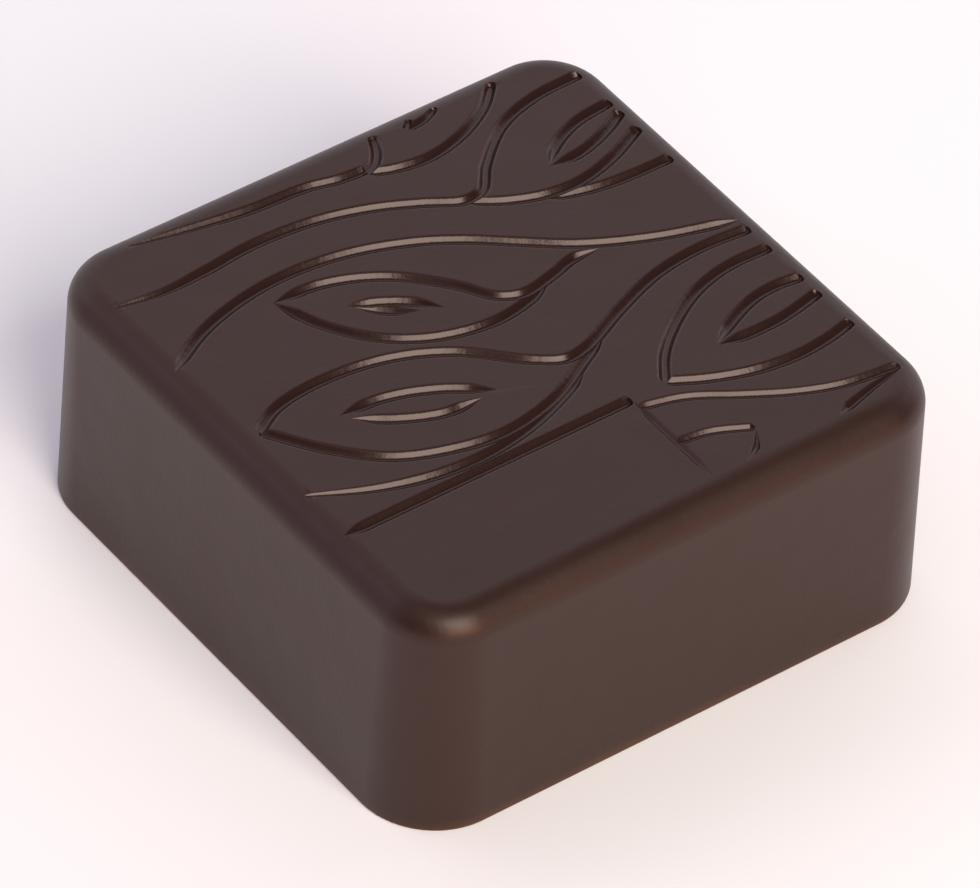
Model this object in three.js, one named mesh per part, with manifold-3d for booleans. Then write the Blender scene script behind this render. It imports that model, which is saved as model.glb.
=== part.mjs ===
// A square moulded chocolate bonbon, whose flat top is carved with a wood-grain pattern.
// Millimetres, +Z up. The origin is the middle of the flat base. +X runs along the straight
// plank joint of the grain, and the plank lies towards -Y. The bonbon is one solid piece.
import * as THREE from 'three';
import * as BufferGeometryUtils from 'three/addons/utils/BufferGeometryUtils.js';
import Module from 'manifold-3d';

// Body: a low square block with round corners, sides that lean in, and a rolled top edge
const side = 28;
const height = 11.7;
const draftAngle = THREE.MathUtils.degToRad(1.65);
const baseCornerRadius = 3.6;
const topCornerRadius = 3.1;
const topEdgeRadius = 1.4;
const cornerSteps = 8;
const edgeSteps = 6;

// Grooves: flat-bottomed, with sloping walls and round ends
const grooveWidth = 0.64;
const floorWidth = 0.18;
const grooveDepth = 0.25;
const cutterRise = 0.25;
const stepLength = 0.75;
const endSides = 12;

// Grooves that run off the pattern stop with their centre this far from the middle
const reach = 12.35;
const backReach = reach + 0.05;

// Where the straight plank joint and its cross joint lie
const plankY = -6.7;
const crossX = 1.95;

// Colour and finish of the chocolate
const chocolateColour = 0x452c23;
const chocolateRoughness = 0.38;

// The carved pattern. Each groove is a smooth curve through its points, x and y on the top.
const grain = {
  backLine: [[-9.2, reach], [-7, 12], [-4.5, 11.6], [-1.5, 11.4], [0, 11.05], [1.3, 10.95]],
  backBranch: [[2.75, backReach], [2.4, 11.8], [1.9, 11.2], [1.2, 10.8]],
  backHollow: [[1.2, 10.75], [2.4, 10.3], [4, 10.1], [6, 10.52], [7.9, 11.5], [9.1, backReach]],
  backForkLeft: [[4.7, backReach], [4.2, 12.1]],
  backForkRight: [[4.2, 12.1], [5.2, 12.2], [6.1, backReach]],

  highLine: [[-reach, 9.7], [-10.4, 9.4], [-8, 9.5], [-5.5, 9.72], [-2.5, 9.5], [0, 8.82], [2, 7.9],
    [3.6, 7.05], [4.6, 7.2], [5.8, 8.5], [7.8, 10.05], [10, 10.75], [reach, 10.9]],
  longLine: [[-reach, 5.42], [-10, 6.62], [-6.5, 7.38], [-3, 7.18], [0, 6.22], [2, 5.12],
    [4, 3.62], [6, 2.18], [9, 0.75], [reach, -0.35]],
  lowLine: [[-reach, -4.05], [-10, -5.17], [-7.5, -5.88], [-5, -6.05], [-2.5, -5.7], [0, -4.85],
    [1.5, -4.1]],

  middleKnotOver: [[-6.95, 6.3], [-4.5, 6.12], [-2, 5], [0.05, 3], [1.1, 1.5], [2.2, 1],
    [4, 1.28], [5.2, 1.6], [6.5, 1.5]],
  middleKnotUnder: [[-6.95, 6.3], [-6, 4], [-4.5, 2.1], [-2.5, 0.85], [0, 0.28], [2, 0.5],
    [3.5, 1.05]],
  middleEyeOver: [[-4.6, 4.5], [-3.05, 3.82], [-2, 3.1], [-1.15, 2.15]],
  middleEyeUnder: [[-4.35, 4.3], [-3.15, 3.2], [-2.1, 2.55]],

  leftKnotOver: [[-12, 0.25], [-10.5, 1.03], [-8, 1.32], [-5, 0.9], [-2.5, -0.25], [0, -2.5],
    [1.2, -3.2], [2.4, -3.1], [5, -2], [7.5, -1.13], [10, -0.83], [reach, -1]],
  leftKnotUnder: [[-12, 0.25], [-10.3, -2.15], [-8.35, -4], [-6, -5], [-3.5, -5.4], [-0.5, -4.85],
    [2, -3.6], [3.5, -2.8]],
  leftEyeOver: [[-8.7, -0.8], [-6.5, -0.96], [-4.25, -1.8], [-2.3, -3.15]],
  leftEyeUnder: [[-8.4, -1.2], [-6.8, -2.3], [-5, -3.07], [-3.1, -3.2]],

  cornerKnotUnder: [[3.7, 6.9], [5, 6.1], [6.7, 5.47], [8.5, 5.35], [10.5, 5.82], [reach, 6.75]],
  cornerKnotSkirt: [[6.2, 5.45], [7.3, 5.02], [9, 4.6], [10.7, 4.45], [reach, 4.42]],
  cornerEyeOver: [[7.9, 6.9], [9, 7.8], [10.6, 8.48], [reach, 8.73]],
  cornerEyeUnder: [[7.9, 6.8], [9.5, 6.8], [11.2, 7.3], [reach, 8]],

  rightKnotOver: [[3.8, -6.6], [4.9, -5.15], [6.5, -3.87], [8.5, -2.82], [10.5, -2.38],
    [reach, -2.42]],
  rightKnotUnder: [[3.8, -6.6], [5.5, -7.48], [7.5, -8.15], [9.5, -8.38], [11.2, -8.25],
    [reach, -7.95]],
  rightEyeOver: [[7, -5.95], [8.3, -5.25], [10, -4.6], [11.3, -4.47], [reach, -4.62]],
  rightEyeUnder: [[7, -6.05], [8.5, -6.22], [10.3, -6.2], [reach, -5.78]],

  plankJoint: [[-reach, plankY], [crossX, plankY]],
  crossJoint: [[crossX, plankY], [crossX, -reach]],
  frontLine: [[crossX, -7.25], [4, -7.85], [6, -9.03], [8, -10.12], [10, -10.85], [reach, -11.2]],
  frontFork: [[8.45, -12.25], [9.5, -11.95], [11, -11.6], [reach, -11.35]],
  frontChipOver: [[crossX, -9.8], [3.55, -10.08], [5.2, -10.85]],
  frontChipUnder: [[5.2, -10.85], [4.6, -11.75], [3.6, -reach]],
};

const wasm = await Module();
wasm.setup();

// A closed geometry as a solid: shared corners are merged and collapsed triangles dropped.
function toSolid(geometry) {
  geometry.deleteAttribute('normal');
  geometry.deleteAttribute('uv');
  const merged = BufferGeometryUtils.mergeVertices(geometry);
  const corners = [];
  for (let i = 0; i < merged.index.count; i += 3) {
    const [a, b, c] = [0, 1, 2].map((offset) => merged.index.getX(i + offset));
    if (a !== b && b !== c && c !== a) corners.push(a, b, c);
  }
  return new wasm.Manifold(new wasm.Mesh({
    numProp: 3,
    vertProperties: new Float32Array(merged.attributes.position.array),
    triVerts: new Uint32Array(corners),
  }));
}

// A solid back as a geometry that a mesh can show.
function toGeometry(solid) {
  const { vertProperties, triVerts } = solid.getMesh();
  const geometry = new THREE.BufferGeometry();
  geometry.setAttribute('position', new THREE.BufferAttribute(vertProperties, 3));
  geometry.setIndex(new THREE.BufferAttribute(triVerts, 1));
  geometry.computeVertexNormals();
  return geometry;
}

// One level of the body: a square with round corners, anticlockwise as seen from above.
function levelRing({ halfSize, cornerRadius, z }) {
  const ring = [];
  for (let corner = 0; corner < 4; corner++) {
    const startAngle = corner * (Math.PI / 2);
    const centre = new THREE.Vector2(1, 1).multiplyScalar(halfSize - cornerRadius);
    centre.rotateAround(new THREE.Vector2(), startAngle);
    for (let step = 0; step <= cornerSteps; step++) {
      const angle = startAngle + (step / cornerSteps) * (Math.PI / 2);
      const x = centre.x + cornerRadius * Math.cos(angle);
      const y = centre.y + cornerRadius * Math.sin(angle);
      ring.push(new THREE.Vector3(x, y, z));
    }
  }
  return ring;
}

// The body's levels: the base, then the rolled edge from the leaning side up to the flat top.
function bodyLevels() {
  const sideTop = height - topEdgeRadius * (1 - Math.sin(draftAngle));
  const sideTopHalf = side / 2 - sideTop * Math.tan(draftAngle);
  const rollCentre = sideTopHalf - topEdgeRadius * Math.cos(draftAngle);
  const levels = [{ halfSize: side / 2, cornerRadius: baseCornerRadius, z: 0 }];
  for (let step = 0; step <= edgeSteps; step++) {
    const angle = THREE.MathUtils.lerp(draftAngle, Math.PI / 2, step / edgeSteps);
    const halfSize = rollCentre + topEdgeRadius * Math.cos(angle);
    levels.push({
      halfSize,
      cornerRadius: topCornerRadius - (sideTopHalf - halfSize),
      z: height - topEdgeRadius * (1 - Math.sin(angle)),
    });
  }
  return levels;
}

// The plain block: its levels joined by bands of triangles, with a flat fan at each end.
function makeBlock() {
  const rings = bodyLevels().map(levelRing);
  const count = rings[0].length;
  const top = (rings.length - 1) * count;
  const corners = [];
  for (let level = 0; level < rings.length - 1; level++) {
    for (let i = 0; i < count; i++) {
      const a = level * count + i;
      const b = level * count + ((i + 1) % count);
      corners.push(a, b, b + count, a, b + count, a + count);
    }
  }
  for (let i = 1; i < count - 1; i++) {
    corners.push(0, i + 1, i);
    corners.push(top, top + i, top + i + 1);
  }
  const geometry = new THREE.BufferGeometry().setFromPoints(rings.flat());
  geometry.setIndex(corners);
  return toSolid(geometry);
}

// The cutter's upper edge stands above the top with its walls still opening.
const wallRun = (grooveWidth - floorWidth) / 2;
const cutterHalfWidth = grooveWidth / 2 + (wallRun / grooveDepth) * cutterRise;

// A round end: the groove's half section turned about an upright axis through the path's end.
function makeCutterEnd(point, tangent) {
  const halfSection = [
    new THREE.Vector2(0, -grooveDepth),
    new THREE.Vector2(floorWidth / 2, -grooveDepth),
    new THREE.Vector2(cutterHalfWidth, cutterRise),
    new THREE.Vector2(0, cutterRise),
  ];
  const geometry = new THREE.LatheGeometry(halfSection, endSides);
  geometry.rotateX(Math.PI / 2);
  geometry.rotateZ(Math.atan2(tangent.y, tangent.x));
  geometry.translate(point.x, point.y, point.z);
  return toSolid(geometry);
}

// The cutter of one groove: its section swept along the curve, with a round end at both ends.
// The sweep's section is drawn as depth below the top and distance to the side.
function makeCutter(points) {
  const path = new THREE.CatmullRomCurve3(points.map(([x, y]) => new THREE.Vector3(x, y, height)));
  const section = new THREE.Shape([
    new THREE.Vector2(grooveDepth, -floorWidth / 2),
    new THREE.Vector2(grooveDepth, floorWidth / 2),
    new THREE.Vector2(-cutterRise, cutterHalfWidth),
    new THREE.Vector2(-cutterRise, -cutterHalfWidth),
  ]);
  const steps = points.length === 2 ? 1 : Math.ceil(path.getLength() / stepLength);
  const sweep = toSolid(new THREE.ExtrudeGeometry(section, {
    steps, extrudePath: path, bevelEnabled: false,
  }));
  const ends = [0, 1].map((u) => makeCutterEnd(path.getPointAt(u), path.getTangentAt(u)));
  return sweep.add(ends[0]).add(ends[1]);
}

// The bonbon: the block with every groove of the grain cut into its top.
function makeBonbon() {
  const cutters = Object.values(grain).map(makeCutter);
  const solid = cutters.reduce((block, cutter) => block.subtract(cutter), makeBlock());
  const material = new THREE.MeshStandardMaterial({
    color: chocolateColour, roughness: chocolateRoughness, metalness: 0,
  });
  const mesh = new THREE.Mesh(toGeometry(solid), material);
  mesh.name = 'bonbon';
  return mesh;
}

const model = new THREE.Group();
model.add(makeBonbon());

export default model;
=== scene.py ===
"""A square moulded chocolate bonbon with a carved wood-grain top, on a pale studio floor.

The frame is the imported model's: metres, +Z up, the origin in the middle of the flat base, +X along
the straight plank joint of the grain and the plank towards -Y. The bonbon is modelled and carved in
millimetres and then brought to metres.
"""

import logging
import math
from dataclasses import dataclass, field
from enum import Enum

import bpy
from mathutils import Matrix, Vector


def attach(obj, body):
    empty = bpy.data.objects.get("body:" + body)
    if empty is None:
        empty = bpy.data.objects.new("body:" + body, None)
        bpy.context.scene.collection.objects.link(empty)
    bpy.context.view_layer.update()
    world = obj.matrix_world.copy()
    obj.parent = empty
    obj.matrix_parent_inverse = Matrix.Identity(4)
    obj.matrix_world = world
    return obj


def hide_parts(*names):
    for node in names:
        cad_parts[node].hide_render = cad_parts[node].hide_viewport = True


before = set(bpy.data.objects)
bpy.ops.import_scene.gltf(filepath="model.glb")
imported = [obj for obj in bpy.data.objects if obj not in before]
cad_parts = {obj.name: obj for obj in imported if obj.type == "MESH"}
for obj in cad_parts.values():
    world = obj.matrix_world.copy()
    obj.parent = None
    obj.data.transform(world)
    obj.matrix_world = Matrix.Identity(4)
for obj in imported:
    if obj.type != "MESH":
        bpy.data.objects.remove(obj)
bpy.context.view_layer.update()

MM = 0.001
# In millimetres, how far apart the heights of one level and the vertices of one place may lie
LEVEL_TOLERANCE = 1e-4
PLACE_TOLERANCE = 1e-5

log = logging.getLogger("bonbon")

Point = tuple[float, float]
Colour = tuple[float, float, float]


class Tint(Enum):
    """Colours of the studio lights, linear."""

    NEUTRAL = (1.0, 1.0, 1.0)
    SUN = (1.0, 0.98, 0.88)
    AMBER = (1.0, 0.62, 0.43)
    ROSE = (1.0, 0.95, 1.0)
    LILAC = (0.95, 0.76, 1.0)


# Geometry helpers


def deselect_all() -> None:
    """Leaves every object unselected."""
    bpy.ops.object.select_all(action="DESELECT")


def make_active(piece: bpy.types.Object) -> None:
    """Makes one object the only selected and the active one.

    Args:
        piece: The object to work on.
    """
    deselect_all()
    piece.select_set(True)
    bpy.context.view_layer.objects.active = piece


def direction(azimuth: float, elevation: float) -> Vector:
    """Gives the direction from the bonbon to something around it.

    Args:
        azimuth: Degrees from -Y towards +X.
        elevation: Degrees above the floor.

    Returns:
        A unit vector.
    """
    turn, rise = math.radians(azimuth), math.radians(elevation)
    return Vector((math.sin(turn) * math.cos(rise), -math.cos(turn) * math.cos(rise), math.sin(rise)))


def smooth_curve(points: list[Point], spacing: float) -> list[Vector]:
    """Samples the centripetal Catmull-Rom curve through some points.

    Args:
        points: The points that the curve passes through.
        spacing: About how far apart the samples lie.

    Returns:
        The samples, from the first point to the last.
    """
    knots = [Vector(point) for point in points]
    knots = [2 * knots[0] - knots[1], *knots, 2 * knots[-1] - knots[-2]]
    samples = []
    for before, start, end, after in zip(knots, knots[1:], knots[2:], knots[3:]):
        gap_before, gap, gap_after = (
            math.sqrt((b - a).length) for a, b in ((before, start), (start, end), (end, after))
        )
        leave = (start - before) / gap_before - (end - before) / (gap_before + gap) + (end - start) / gap
        arrive = (end - start) / gap - (after - start) / (gap + gap_after) + (after - end) / gap_after
        leave, arrive = leave * gap, arrive * gap
        steps = max(2, math.ceil((end - start).length / spacing))
        for step in range(steps):
            t = step / steps
            samples.append(
                start
                + t * leave
                + t**2 * (3 * (end - start) - 2 * leave - arrive)
                + t**3 * (2 * (start - end) + leave + arrive)
            )
    samples.append(knots[-2])
    return samples


def line_curve(name: str, points: list[Vector], closed: bool = False) -> bpy.types.Object:
    """Draws straight lines from point to point as a curve object.

    Args:
        name: Name of the object.
        points: The points, in order.
        closed: Whether the last point is joined to the first.

    Returns:
        The curve.
    """
    curve = bpy.data.curves.new(name, "CURVE")
    curve.dimensions = "3D"
    spline = curve.splines.new("POLY")
    spline.points.add(len(points) - 1)
    for point, place in zip(spline.points, points):
        point.co = (*place, 1)
    spline.use_cyclic_u = closed
    piece = bpy.data.objects.new(name, curve)
    bpy.context.collection.objects.link(piece)
    return piece


# The block


@dataclass
class Block:
    """The plain block: a low square with round corners, leaning sides and a rolled top edge.

    Sizes are in millimetres. The straight sides are divided by side_cuts, so that no face that the
    carving cuts is long.
    """

    side: float = 28.0
    height: float = 11.7
    draft: float = math.radians(1.65)
    base_corner_radius: float = 3.6
    top_corner_radius: float = 3.1
    top_edge_radius: float = 1.4
    foot_radius: float = 0.12
    corner_segments: int = 24
    edge_segments: int = 14
    foot_segments: int = 3
    side_cuts: int = 40

    def side_height(self) -> float:
        """Gives the height at which the leaning side ends and the rolled edge starts."""
        return self.height - self.top_edge_radius * (1 - math.sin(self.draft))

    def depth_below(self, place: Vector) -> float:
        """Gives how deep a place lies below the uncarved top and the upper half of its rolled edge.

        Args:
            place: The place.

        Returns:
            The depth, or 0 further out.
        """
        half = self.side / 2 - self.side_height() * math.tan(self.draft)
        half -= self.top_edge_radius * math.cos(self.draft)
        radius = self.top_corner_radius - self.top_edge_radius
        past = Vector((max(abs(place.x) - half + radius, 0), max(abs(place.y) - half + radius, 0)))
        out = max(past.length - radius, 0)
        if out > self.top_edge_radius / 2:
            return 0.0
        fall = self.top_edge_radius - math.sqrt(self.top_edge_radius**2 - out**2)
        return self.height - fall - place.z

    def add_level(self, half_size: float, corner_radius: float, z: float) -> bpy.types.Object:
        """Adds the outline of one level of the block: a square with round corners and divided sides.

        Args:
            half_size: Half the side of the square.
            corner_radius: Radius of its four corners.
            z: Height of the level.

        Returns:
            The outline, a mesh of edges.
        """
        bpy.ops.mesh.primitive_plane_add(size=2 * half_size, location=(0, 0, z))
        level = bpy.context.object
        bpy.ops.object.mode_set(mode="EDIT")
        bpy.ops.mesh.select_mode(type="EDGE")
        bpy.ops.mesh.select_all(action="SELECT")
        bpy.ops.mesh.bevel(
            offset=corner_radius, segments=self.corner_segments, affect="VERTICES", clamp_overlap=False
        )
        bpy.ops.mesh.delete(type="ONLY_FACE")
        bpy.ops.object.mode_set(mode="OBJECT")
        # Only the four straight sides are longer than half the square
        for edge in level.data.edges:
            start, end = (level.data.vertices[i].co for i in edge.vertices)
            edge.select = (end - start).length > half_size
        bpy.ops.object.mode_set(mode="EDIT")
        bpy.ops.mesh.subdivide(number_cuts=self.side_cuts)
        bpy.ops.object.mode_set(mode="OBJECT")
        bpy.ops.object.transform_apply()
        return level

    def roll_edge(self, piece: bpy.types.Object, z: float, offset: float, segments: int) -> None:
        """Rounds the sharp edge that runs round the block at one height.

        Args:
            piece: The block.
            z: Height of the edge.
            offset: How far from the edge the rounding starts.
            segments: Number of bands in the rounding.
        """
        for edge in piece.data.edges:
            ends = [piece.data.vertices[i].co.z for i in edge.vertices]
            edge.select = all(math.isclose(end, z, abs_tol=LEVEL_TOLERANCE) for end in ends)
        bpy.ops.object.mode_set(mode="EDIT")
        bpy.ops.mesh.bevel(offset=offset, segments=segments, affect="EDGES", clamp_overlap=False)
        bpy.ops.mesh.select_all(action="DESELECT")
        bpy.ops.object.mode_set(mode="OBJECT")

    def build(self) -> bpy.types.Object:
        """Builds the block from its two levels.

        Returns:
            The block, closed, with its faces outwards.
        """
        deselect_all()
        lean = math.tan(self.draft)
        radius_slope = (self.base_corner_radius - self.top_corner_radius) / self.side_height()
        base = self.add_level(self.side / 2, self.base_corner_radius, 0)
        top = self.add_level(
            self.side / 2 - self.height * lean,
            self.base_corner_radius - self.height * radius_slope,
            self.height,
        )
        make_active(base)
        top.select_set(True)
        bpy.ops.object.join()
        bpy.ops.object.mode_set(mode="EDIT")
        bpy.ops.mesh.select_mode(type="EDGE")
        bpy.ops.mesh.select_all(action="SELECT")
        bpy.ops.mesh.bridge_edge_loops()
        bpy.ops.mesh.select_all(action="SELECT")
        bpy.ops.mesh.fill_holes(sides=0)
        bpy.ops.mesh.select_all(action="SELECT")
        bpy.ops.mesh.normals_make_consistent(inside=False)
        bpy.ops.mesh.select_all(action="DESELECT")
        bpy.ops.object.mode_set(mode="OBJECT")
        half_turn = (math.pi / 2 - self.draft) / 2
        offset = self.top_edge_radius * math.tan(half_turn)
        self.roll_edge(base, self.height, offset, self.edge_segments)
        self.roll_edge(base, 0, self.foot_radius, self.foot_segments)
        return base


# The carved grain

# Where the grooves end at the edges of the top, in millimetres from the middle: the -Y edge in front,
# the +X and +Y edges far from the camera, and the -X edge near it
FRONT_REACH = 12.35
FAR_REACH = FRONT_REACH + 0.25
NEAR_REACH = FRONT_REACH + 0.6

# The two straight joints of the plank, and the gap between them, in millimetres
PLANK_Y = -6.7
CROSS_X = 1.95
JOINT_GAP = 0.2

# The share of its section that a groove keeps at its very end, and the share that counts as all of it
HAIR = 0.04
FULL = 0.98

# The attribute that marks the carved vertices, and the least depth that they lie at, in millimetres
CARVED = "carved"
MARK_DEPTH = 0.02


class End(Enum):
    """Ways in which a groove ends: the run-out's length in millimetres and two powers for its form."""

    ROUND = (0.18, 2.0, 0.5)
    POINTED = (1.2, 1.4, 1.0)
    FADING = (5.0, 1.0, 0.45)

    def swell(self, distance: float) -> float:
        """Gives the size of the groove near this end.

        Args:
            distance: Millimetres from the end, along the groove.

        Returns:
            The share of the full section, from a hair's width to 1.
        """
        length, inner, outer = self.value
        left = 1 - min(distance / length, 1.0)
        return max((1 - left**inner) ** outer, HAIR)


@dataclass
class GrooveSection:
    """The section of a groove: a round-bottomed trough with softened rims.

    Sizes are in millimetres. The lid closes the section above the block's top, and the lip lies just
    over the top, where the rim starts to curve down.
    """

    rim_width: float = 0.6
    depth: float = 0.235
    wall_slope: float = math.radians(47.4)
    rim_radius: float = 0.2
    foot_radius: float = 0.17
    rim_steps: int = 7
    foot_steps: int = 5
    lid_rise: float = 0.25
    lip_run: float = 0.012
    lip_rise: float = 0.002

    def half(self) -> list[Point]:
        """Gives the half section as half widths and heights, from the lid down to the floor.

        Returns:
            Pairs of half width and height above the top of the block.
        """
        run = math.tan(self.wall_slope / 2)
        rim_centre = self.rim_width / 2 + self.rim_radius * run
        foot_half = self.rim_width / 2 - self.depth / math.tan(self.wall_slope)
        foot_centre = foot_half - self.foot_radius * run
        lip = rim_centre + self.lip_run
        points = [(lip, self.lid_rise), (lip, self.lip_rise)]
        for step in range(1, self.rim_steps + 1):
            angle = self.wall_slope * step / self.rim_steps
            out = rim_centre - self.rim_radius * math.sin(angle)
            points.append((out, -self.rim_radius * (1 - math.cos(angle))))
        for step in range(self.foot_steps, -1, -1):
            angle = self.wall_slope * step / self.foot_steps
            out = foot_centre + self.foot_radius * math.sin(angle)
            points.append((out, self.foot_radius * (1 - math.cos(angle)) - self.depth))
        return points

    def build(self) -> bpy.types.Object:
        """Builds the whole section as a closed curve, to be swept along a groove.

        Returns:
            The curve.
        """
        half = self.half()
        mirrored = [(-out, rise) for out, rise in reversed(half)]
        return line_curve("section", [Vector((*point, 0)) for point in half + mirrored], closed=True)


@dataclass
class Groove:
    """One groove of the grain, swept along a smooth curve.

    Sizes are in millimetres, and size is the share of the usual section. The curve is sampled at
    end_spacing, and the section stands at spacing, or at end_stride samples where an end tapers.
    """

    name: str
    points: list[Point]
    start: End = End.POINTED
    finish: End = End.ROUND
    size: float = 1.0
    spacing: float = 0.2
    end_spacing: float = 0.04
    end_stride: float = 1.5

    def stations(self) -> list[tuple[Vector, float]]:
        """Chooses where the section is placed, closer together near the ends.

        Returns:
            Pairs of a place on the groove's line and the share of the full section there.
        """
        line = smooth_curve(self.points, self.end_spacing)
        travelled = [0.0]
        for here, there in zip(line, line[1:]):
            travelled.append(travelled[-1] + (there - here).length)
        stations = []
        last = -self.spacing
        for place, distance in zip(line, travelled):
            left = travelled[-1] - distance
            size = min(self.start.swell(distance), self.finish.swell(left))
            step = self.spacing if size > FULL else self.end_spacing * self.end_stride
            if distance - last >= step or left == 0:
                stations.append((place, size))
                last = distance
        return stations

    def build_cutter(self, section: bpy.types.Object, top: float) -> bpy.types.Object:
        """Builds the closed solid that this groove takes out of the block.

        Args:
            section: The section's curve.
            top: Height of the block's flat top.

        Returns:
            The cutter, a mesh.
        """
        stations = self.stations()
        cutter = line_curve(self.name, [Vector((place.x, place.y, top)) for place, _ in stations])
        for point, (_, size) in zip(cutter.data.splines[0].points, stations):
            point.radius = size * self.size
        cutter.data.twist_mode = "Z_UP"
        cutter.data.bevel_mode = "OBJECT"
        cutter.data.bevel_object = section
        cutter.data.use_fill_caps = True
        make_active(cutter)
        bpy.ops.object.convert(target="MESH")
        cutter = bpy.context.object
        bpy.ops.object.mode_set(mode="EDIT")
        bpy.ops.mesh.select_all(action="SELECT")
        bpy.ops.mesh.remove_doubles(threshold=PLACE_TOLERANCE)
        bpy.ops.mesh.normals_make_consistent(inside=False)
        bpy.ops.object.mode_set(mode="OBJECT")
        return cutter


def back_grooves() -> list[Groove]:
    """Gives the line and the small branches along the +Y edge, and the line in front of them.

    Returns:
        The grooves, in the order in which they are cut.
    """
    return [
        Groove(
            "back_line",
            [(-10, 12.55), (-7, 12), (-4.5, 11.6), (-1.5, 11.4), (0, 11.05), (1.3, 10.95)],
            End.FADING,
        ),
        Groove("back_branch", [(2.75, FAR_REACH), (2.4, 11.8), (1.9, 11.2), (1.2, 10.8)], End.ROUND),
        Groove(
            "back_hollow",
            [(1.2, 10.75), (2.4, 10.3), (4, 10.1), (6, 10.52), (7.9, 11.5), (9.1, FAR_REACH)],
            End.ROUND,
        ),
        Groove("back_fork_left", [(4.7, FAR_REACH), (4.2, 12.1)], End.ROUND, size=0.8),
        Groove("back_fork_right", [(4.2, 12.1), (5.2, 12.2), (6.1, FAR_REACH)], End.ROUND, size=0.8),
        Groove(
            "high_line",
            [
                (-NEAR_REACH, 9.79), (-10.4, 9.4), (-8, 9.5), (-5.5, 9.72), (-2.5, 9.5), (0, 8.82),
                (2, 7.9), (3.6, 7.05), (4.6, 7.2), (5.8, 8.5), (7.8, 10.05), (10, 10.75),
                (FAR_REACH, 10.9),
            ],
            End.FADING,
        ),
    ]


def long_grooves() -> list[Groove]:
    """Gives the two lines that run on past the knots.

    Returns:
        The grooves, in the order in which they are cut.
    """
    return [
        Groove(
            "long_line",
            [
                (-NEAR_REACH, 5.1), (-10, 6.62), (-6.5, 7.38), (-3, 7.18), (0, 6.22), (2, 5.12),
                (4, 3.62), (6, 2.18), (9, 0.75), (FAR_REACH, -0.35),
            ],
            finish=End.POINTED,
        ),
        Groove(
            "low_line",
            [
                (-NEAR_REACH, -3.75), (-10, -5.17), (-7.5, -5.88), (-5, -6.05), (-2.5, -5.7),
                (0, -4.85), (1.5, -4.1),
            ],
            End.FADING,
            End.POINTED,
        ),
    ]


def middle_knot() -> list[Groove]:
    """Gives the outline of the knot in the middle and its eye.

    Returns:
        The grooves, in the order in which they are cut.
    """
    tip = (-6.95, 6.3)
    return [
        Groove(
            "middle_knot_over",
            [
                tip, (-4.5, 6.12), (-2, 5), (0.05, 3), (1.1, 1.5), (2.2, 1), (4, 1.28), (5.2, 1.6),
                (6.5, 1.5),
            ],
            finish=End.POINTED,
        ),
        Groove(
            "middle_knot_under",
            [tip, (-6, 4), (-4.5, 2.1), (-2.5, 0.85), (0, 0.28), (2, 0.5), (3.5, 1.05)],
            finish=End.POINTED,
        ),
        Groove(
            "middle_eye_over",
            [(-4.6, 4.5), (-3.05, 3.82), (-2, 3.1), (-1.15, 2.15)],
            End.POINTED,
            End.POINTED,
        ),
        Groove("middle_eye_under", [(-4.35, 4.3), (-3.15, 3.2), (-2.1, 2.55)], End.POINTED, End.POINTED),
    ]


def left_knot() -> list[Groove]:
    """Gives the outline of the knot near the -X edge, its tail to the +X edge and its eye.

    Returns:
        The grooves, in the order in which they are cut.
    """
    tip = (-12.0, 0.25)
    return [
        Groove(
            "left_knot_over",
            [
                tip, (-10.5, 1.03), (-8, 1.32), (-5, 0.9), (-2.5, -0.25), (0, -2.5), (1.2, -3.2),
                (2.4, -3.1), (5, -2), (7.5, -1.13), (10, -0.83), (FAR_REACH, -1),
            ],
            End.ROUND,
        ),
        Groove(
            "left_knot_under",
            [
                tip, (-10.3, -2.15), (-8.35, -4), (-6, -5), (-3.5, -5.4), (-0.5, -4.85), (2, -3.6),
                (3.5, -2.8),
            ],
            End.ROUND,
            End.POINTED,
        ),
        Groove(
            "left_eye_over",
            [(-8.7, -0.8), (-6.5, -0.96), (-4.25, -1.8), (-2.3, -3.15)],
            End.POINTED,
            End.POINTED,
        ),
        Groove(
            "left_eye_under",
            [(-8.4, -1.2), (-6.8, -2.3), (-5, -3.07), (-3.1, -3.2)],
            End.POINTED,
            End.POINTED,
        ),
    ]


def corner_knot() -> list[Groove]:
    """Gives the knot that runs off at the +X edge near the back corner, its skirt and its eye.

    Returns:
        The grooves, in the order in which they are cut.
    """
    return [
        Groove(
            "corner_knot_under",
            [(3.7, 6.9), (5, 6.1), (6.7, 5.47), (8.5, 5.35), (10.5, 5.82), (FAR_REACH, 6.75)],
            End.ROUND,
        ),
        Groove(
            "corner_knot_skirt",
            [(6.2, 5.45), (7.3, 5.02), (9, 4.6), (10.7, 4.45), (FAR_REACH, 4.42)],
        ),
        Groove("corner_eye_over", [(7.9, 6.9), (9, 7.8), (10.6, 8.48), (FAR_REACH, 8.73)]),
        Groove("corner_eye_under", [(7.9, 6.8), (9.5, 6.8), (11.2, 7.3), (FAR_REACH, 8)]),
    ]


def right_knot() -> list[Groove]:
    """Gives the knot that runs off at the +X edge near the front corner and its eye.

    Returns:
        The grooves, in the order in which they are cut.
    """
    tip = (3.8, -6.6)
    return [
        Groove(
            "right_knot_over",
            [tip, (4.9, -5.15), (6.5, -3.87), (8.5, -2.82), (10.5, -2.38), (FAR_REACH, -2.42)],
            End.ROUND,
        ),
        Groove(
            "right_knot_under",
            [tip, (5.5, -7.48), (7.5, -8.15), (9.5, -8.38), (11.2, -8.25), (FAR_REACH, -7.95)],
            End.ROUND,
        ),
        Groove(
            "right_eye_over",
            [(7, -5.95), (8.3, -5.25), (10, -4.6), (11.3, -4.47), (FAR_REACH, -4.62)],
        ),
        Groove("right_eye_under", [(7, -6.05), (8.5, -6.22), (10.3, -6.2), (FAR_REACH, -5.78)]),
    ]


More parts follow.
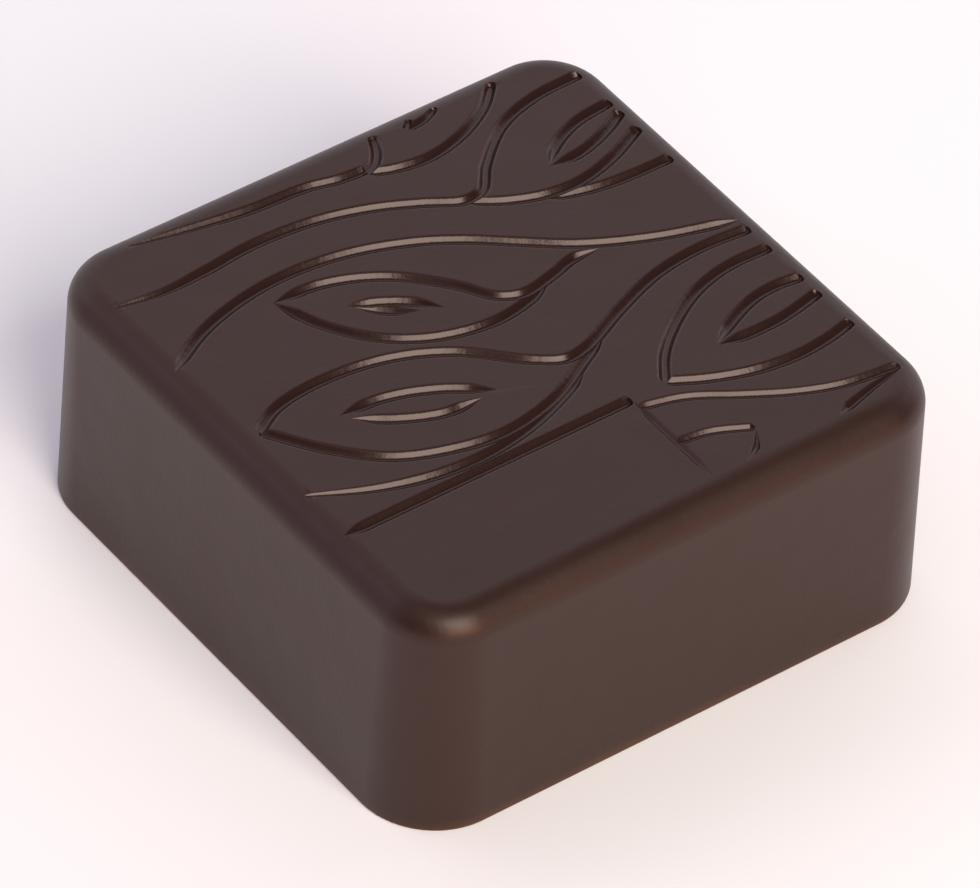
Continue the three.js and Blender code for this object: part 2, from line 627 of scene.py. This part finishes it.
def plank_grooves() -> list[Groove]:
    """Gives the straight joints of the plank and the lines in front of it, in the -Y corner.

    Returns:
        The grooves, in the order in which they are cut.
    """
    return [
        Groove("plank_joint", [(-NEAR_REACH, PLANK_Y), (CROSS_X, PLANK_Y)]),
        Groove(
            "cross_joint",
            [(CROSS_X, PLANK_Y - JOINT_GAP), (CROSS_X, -FRONT_REACH)],
            finish=End.POINTED,
            size=0.6,
        ),
        Groove(
            "front_line",
            [(CROSS_X, -7.25), (4, -7.85), (6, -9.03), (8, -10.12), (10, -10.85), (FAR_REACH, -11.2)],
            End.ROUND,
            size=0.85,
        ),
        Groove(
            "front_fork",
            [(8.45, -12.25), (9.5, -11.95), (11, -11.6), (FAR_REACH, -11.35)],
            finish=End.FADING,
        ),
        Groove("front_chip_over", [(CROSS_X, -9.8), (3.55, -10.08), (5.2, -10.85)], End.ROUND, size=0.8),
        Groove(
            "front_chip_under",
            [(5.15, -11), (4.6, -11.75), (3.6, -FRONT_REACH)],
            finish=End.POINTED,
            size=0.7,
        ),
    ]


def all_grooves() -> list[Groove]:
    """Gives every groove of the grain.

    Returns:
        The grooves, in the order in which they are cut.
    """
    return [
        *back_grooves(), *long_grooves(), *middle_knot(), *left_knot(), *corner_knot(), *right_knot(),
        *plank_grooves(),
    ]


@dataclass
class GrainCarving:
    """The wood grain carved into the top. The merge distance is in millimetres."""

    section: GrooveSection = field(default_factory=GrooveSection)
    grooves: list[Groove] = field(default_factory=all_grooves)
    solver: str = "MANIFOLD"
    merge_distance: float = 0.002

    def carve(self, block: bpy.types.Object, top: float) -> None:
        """Cuts every groove out of the block and merges the slivers that the cuts leave.

        Args:
            block: The block to carve.
            top: Height of its flat top.
        """
        section = self.section.build()
        for groove in self.grooves:
            cutter = groove.build_cutter(section, top)
            make_active(block)
            bpy.ops.object.modifier_add(type="BOOLEAN")
            cut = block.modifiers[-1]
            cut.object = cutter
            cut.operation = "DIFFERENCE"
            cut.solver = self.solver
            bpy.ops.object.modifier_apply(modifier=cut.name)
            bpy.data.objects.remove(cutter)
        bpy.data.objects.remove(section)
        make_active(block)
        bpy.ops.object.mode_set(mode="EDIT")
        bpy.ops.mesh.select_all(action="SELECT")
        bpy.ops.mesh.remove_doubles(threshold=self.merge_distance)
        bpy.ops.object.mode_set(mode="OBJECT")

    def mark(self, piece: bpy.types.Object, block: Block) -> None:
        """Notes on each vertex whether it lies in the carving, for the finish to read.

        Args:
            piece: The carved block, in millimetres.
            block: Its sizes.
        """
        carved = piece.data.attributes.new(CARVED, "FLOAT", "POINT")
        for vertex, value in zip(piece.data.vertices, carved.data):
            value.value = float(block.depth_below(vertex.co) > MARK_DEPTH)


# Finishes


def add_noise(
    tree: bpy.types.NodeTree, place: bpy.types.NodeSocket, scale: float, detail: float
) -> bpy.types.NodeSocket:
    """Adds a noise texture to a material.

    Args:
        tree: The material's nodes.
        place: The coordinates that it reads.
        scale: How often it repeats in a metre.
        detail: How many finer layers it has.

    Returns:
        The socket of its value.
    """
    noise = tree.nodes.new("ShaderNodeTexNoise")
    noise.inputs["Scale"].default_value = scale
    noise.inputs["Detail"].default_value = detail
    tree.links.new(place, noise.inputs["Vector"])
    return noise.outputs["Fac"]


def add_bump(tree: bpy.types.NodeTree, height: bpy.types.NodeSocket, depth: float) -> bpy.types.Node:
    """Adds a bump to a material.

    Args:
        tree: The material's nodes.
        height: The socket of the value that gives its height.
        depth: The height in metres where that value is 1.

    Returns:
        The bump's node.
    """
    bump = tree.nodes.new("ShaderNodeBump")
    bump.inputs["Distance"].default_value = depth
    tree.links.new(height, bump.inputs["Height"])
    return bump


@dataclass(frozen=True)
class DarkChocolate:
    """Moulded dark chocolate with a soft satin gloss.

    Colours are linear. Heights and depths are in metres, and scales in repeats per metre.
    """

    colour: Colour = (0.0175, 0.0062, 0.0036)
    pale_colour: Colour = (0.0215, 0.0078, 0.0046)
    # The foot colour, with the band height and ragged edge below it, paints a warm glow of light along
    # the foot
    foot_glow_colour: Colour = (0.080, 0.030, 0.010)
    foot_glow_height: float = 0.0011
    foot_glow_fray: float = 0.0008
    roughness: float = 0.41
    carved_roughness: float = 0.23
    roughness_spread: float = 0.04
    ior: float = 1.47
    specular_level: float = 0.52
    specular_tint: Colour = (1.0, 0.78, 0.73)
    mottle_scale: float = 190.0
    mottle_detail: float = 4.0
    wave_scale: float = 330.0
    wave_detail: float = 1.0
    wave_depth: float = 0.00004
    grain_scale: float = 3800.0
    grain_detail: float = 3.0
    grain_depth: float = 0.000008

    def material(self) -> bpy.types.Material:
        """Builds the chocolate's material.

        Returns:
            The material.
        """
        material = bpy.data.materials.new("dark_chocolate")
        material.use_nodes = True
        tree = material.node_tree
        shader = tree.nodes["Principled BSDF"]
        shader.inputs["IOR"].default_value = self.ior
        shader.inputs["Specular IOR Level"].default_value = self.specular_level
        shader.inputs["Specular Tint"].default_value = (*self.specular_tint, 1)
        place = tree.nodes.new("ShaderNodeTexCoord").outputs["Object"]
        mottle = add_noise(tree, place, self.mottle_scale, self.mottle_detail)
        tree.links.new(self.brown(tree, place, mottle), shader.inputs["Base Color"])
        tree.links.new(self.gloss(tree, mottle), shader.inputs["Roughness"])
        tree.links.new(self.relief(tree, place), shader.inputs["Normal"])
        return material

    def brown(
        self, tree: bpy.types.NodeTree, place: bpy.types.NodeSocket, mottle: bpy.types.NodeSocket
    ) -> bpy.types.NodeSocket:
        """Mixes the colour: two close browns, with a painted warm glow of light along the foot.

        Args:
            tree: The material's nodes.
            place: The coordinates.
            mottle: The value that varies from patch to patch.

        Returns:
            The socket of the colour.
        """
        nodes, links = tree.nodes, tree.links
        tone = nodes.new("ShaderNodeMix")
        tone.data_type = "RGBA"
        tone.inputs["A"].default_value = (*self.colour, 1)
        tone.inputs["B"].default_value = (*self.pale_colour, 1)
        links.new(mottle, tone.inputs["Factor"])
        # Painted warm glow of light along the foot: it fades out upwards, with a ragged edge
        height = nodes.new("ShaderNodeSeparateXYZ")
        links.new(place, height.inputs["Vector"])
        fray = nodes.new("ShaderNodeMath")
        fray.operation = "MULTIPLY_ADD"
        fray.inputs[1].default_value = self.foot_glow_fray
        links.new(mottle, fray.inputs[0])
        links.new(height.outputs["Z"], fray.inputs[2])
        foot = nodes.new("ShaderNodeMapRange")
        foot.interpolation_type = "SMOOTHSTEP"
        foot.inputs["From Min"].default_value = 0
        foot.inputs["From Max"].default_value = self.foot_glow_height
        foot.inputs["To Min"].default_value = 1
        foot.inputs["To Max"].default_value = 0
        links.new(fray.outputs["Value"], foot.inputs["Value"])
        glow_mix = nodes.new("ShaderNodeMix")
        glow_mix.data_type = "RGBA"
        glow_mix.inputs["B"].default_value = (*self.foot_glow_colour, 1)
        links.new(foot.outputs["Result"], glow_mix.inputs["Factor"])
        links.new(tone.outputs["Result"], glow_mix.inputs["A"])
        return glow_mix.outputs["Result"]

    def gloss(self, tree: bpy.types.NodeTree, mottle: bpy.types.NodeSocket) -> bpy.types.NodeSocket:
        """Sets the roughness: an uneven satin, glossier in the carving.

        Args:
            tree: The material's nodes.
            mottle: The value that varies from patch to patch.

        Returns:
            The socket of the roughness.
        """
        nodes, links = tree.nodes, tree.links
        satin = nodes.new("ShaderNodeMapRange")
        satin.inputs["To Min"].default_value = self.roughness - self.roughness_spread
        satin.inputs["To Max"].default_value = self.roughness + self.roughness_spread
        links.new(mottle, satin.inputs["Value"])
        carved = nodes.new("ShaderNodeAttribute")
        carved.attribute_name = CARVED
        polish = nodes.new("ShaderNodeMix")
        polish.inputs["B"].default_value = self.carved_roughness
        links.new(carved.outputs["Fac"], polish.inputs["Factor"])
        links.new(satin.outputs["Result"], polish.inputs["A"])
        return polish.outputs["Result"]

    def relief(self, tree: bpy.types.NodeTree, place: bpy.types.NodeSocket) -> bpy.types.NodeSocket:
        """Raises the fine relief: a fine grain on faint waves.

        Args:
            tree: The material's nodes.
            place: The coordinates.

        Returns:
            The socket of the normal.
        """
        wave = add_noise(tree, place, self.wave_scale, self.wave_detail)
        swell = add_bump(tree, wave, self.wave_depth)
        grain = add_noise(tree, place, self.grain_scale, self.grain_detail)
        bump = add_bump(tree, grain, self.grain_depth)
        tree.links.new(swell.outputs["Normal"], bump.inputs["Normal"])
        return bump.outputs["Normal"]


@dataclass(frozen=True)
class PaleFloor:
    """Matt white studio paper. The colour is linear."""

    colour: Colour = (0.96, 0.93, 0.95)
    roughness: float = 0.85
    specular_level: float = 0.1

    def material(self) -> bpy.types.Material:
        """Builds the floor's material.

        Returns:
            The material.
        """
        material = bpy.data.materials.new("pale_floor")
        material.use_nodes = True
        shader = material.node_tree.nodes["Principled BSDF"]
        shader.inputs["Base Color"].default_value = (*self.colour, 1)
        shader.inputs["Roughness"].default_value = self.roughness
        shader.inputs["Specular IOR Level"].default_value = self.specular_level
        return material


# The bonbon


@dataclass
class Bonbon:
    """The whole bonbon: the block, its carving and its finish."""

    block: Block = field(default_factory=Block)
    carving: GrainCarving = field(default_factory=GrainCarving)
    finish: DarkChocolate = field(default_factory=DarkChocolate)
    crease_angle: float = math.radians(32)
    large_face_weight: int = 50

    def build(self) -> bpy.types.Object:
        """Builds, smooths and dresses the bonbon, and ties it to the frame.

        Returns:
            The finished piece, in metres.
        """
        piece = self.block.build()
        piece.name = "chocolate_bonbon"
        self.carving.carve(piece, self.block.height)
        self.carving.mark(piece, self.block)
        self.to_metres(piece)
        self.smooth(piece)
        piece.data.materials.clear()
        piece.data.materials.append(self.finish.material())
        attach(piece, "root")
        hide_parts("bonbon")
        return piece

    def to_metres(self, piece: bpy.types.Object) -> None:
        """Brings the piece from millimetres to metres.

        Args:
            piece: The carved block.
        """
        make_active(piece)
        piece.scale = (MM, MM, MM)
        bpy.ops.object.transform_apply()

    def smooth(self, piece: bpy.types.Object) -> None:
        """Shades the rounded stretches smooth, keeps the flat ones flat and divides it into triangles.

        Args:
            piece: The carved block, in metres.
        """
        make_active(piece)
        bpy.ops.object.shade_smooth_by_angle(angle=self.crease_angle)
        bpy.ops.object.modifier_add(type="WEIGHTED_NORMAL")
        weighted = piece.modifiers[-1]
        weighted.mode = "FACE_AREA"
        weighted.weight = self.large_face_weight
        weighted.keep_sharp = True
        bpy.ops.object.modifier_apply(modifier=weighted.name)
        bpy.ops.object.modifier_add(type="TRIANGULATE")
        split = piece.modifiers[-1]
        split.ngon_method = "BEAUTY"
        split.keep_custom_normals = True
        bpy.ops.object.modifier_apply(modifier=split.name)


# The studio


@dataclass
class SoftBox:
    """One soft light: a rectangle that faces the bonbon. Sizes are in metres, angles in degrees."""

    name: str
    azimuth: float
    elevation: float
    width: float
    height: float
    radiance: float
    tint: Tint = Tint.NEUTRAL
    distance: float = 0.6

    def build(self, target: Vector) -> bpy.types.Object:
        """Places the light.

        Args:
            target: The point that it faces.

        Returns:
            The light.
        """
        away = direction(self.azimuth, self.elevation)
        bpy.ops.object.light_add(type="AREA", location=target + away * self.distance)
        lamp = bpy.context.object
        lamp.name = self.name
        lamp.rotation_euler = away.to_track_quat("Z", "Y").to_euler()
        lamp.data.shape = "RECTANGLE"
        lamp.data.size = self.width
        lamp.data.size_y = self.height
        lamp.data.energy = self.radiance * math.pi * self.width * self.height
        lamp.data.color = self.tint.value
        lamp.visible_camera = False
        return lamp


@dataclass
class Studio:
    """The pale floor, the soft lights and the dim room round them. Sizes are in metres."""

    floor_side: float = 3.0
    floor_finish: PaleFloor = field(default_factory=PaleFloor)
    room_colour: Colour = (0.125, 0.125, 0.165)
    target_height: float = 0.006
    lights: list[SoftBox] = field(
        default_factory=lambda: [
            SoftBox("front_light", -8, 42, 0.39, 0.36, 7.1, Tint.SUN),
            SoftBox("low_light", -4, 15.5, 0.50, 0.18, 6.0, Tint.AMBER),
            SoftBox("back_light", 165, 34, 1.2, 0.78, 0.88, Tint.ROSE),
            SoftBox("left_light", -128, 24, 0.5, 0.48, 0.75, Tint.LILAC),
            SoftBox("right_light", 95, 20, 0.4, 0.4, 1.1, Tint.ROSE),
            SoftBox("top_light", -60, 72, 0.5, 0.5, 0.4),
        ]
    )

    def build(self) -> None:
        """Builds the floor, the lights and the room's dim light."""
        bpy.ops.mesh.primitive_plane_add(size=self.floor_side)
        floor = bpy.context.object
        floor.name = "floor"
        floor.data.materials.append(self.floor_finish.material())
        target = Vector((0, 0, self.target_height))
        for light in self.lights:
            light.build(target)
        world = bpy.context.scene.world or bpy.data.worlds.new("room")
        bpy.context.scene.world = world
        world.use_nodes = True
        world.node_tree.nodes["Background"].inputs["Color"].default_value = (*self.room_colour, 1)
        bpy.context.scene.view_settings.view_transform = "Standard"


@dataclass
class Viewpoint:
    """The camera at the photograph's viewing angle.

    Sizes are in metres, the lens is in millimetres and angles are in degrees. The camera is turned
    towards a point at aim_height over the middle of the base, and then lowered by drop.
    """

    azimuth: float = -39.306
    elevation: float = 43.03
    roll: float = 3.875
    distance: float = 0.4
    lens: float = 349.3
    aim_height: float = 0.00584
    drop: float = 0.000646
    clip_end: float = 10.0

    def build(self) -> bpy.types.Object:
        """Places the camera and makes it the scene's.

        Returns:
            The camera.
        """
        back = direction(self.azimuth, self.elevation)
        level = Vector((0, 0, 1)).cross(back).normalized()
        rise = back.cross(level)
        roll = math.radians(self.roll)
        right = level * math.cos(roll) + rise * math.sin(roll)
        up = back.cross(right)
        place = Vector((0, 0, self.aim_height)) + back * self.distance - up * self.drop
        bpy.ops.object.camera_add(location=place)
        camera = bpy.context.object
        camera.rotation_mode = "QUATERNION"
        camera.rotation_quaternion = Matrix((right, up, back)).transposed().to_quaternion()
        camera.data.lens = self.lens
        camera.data.clip_end = self.clip_end
        bpy.context.scene.camera = camera
        return camera


def main() -> None:
    """Builds the bonbon, the studio and the camera, in order."""
    logging.basicConfig(level=logging.INFO, format="%(name)s: %(message)s")
    piece = Bonbon().build()
    log.info("%s has %d faces", piece.name, len(piece.data.polygons))
    Studio().build()
    log.info("studio ready")
    Viewpoint().build()
    log.info("camera ready")


if __name__ == "__main__":
    main()
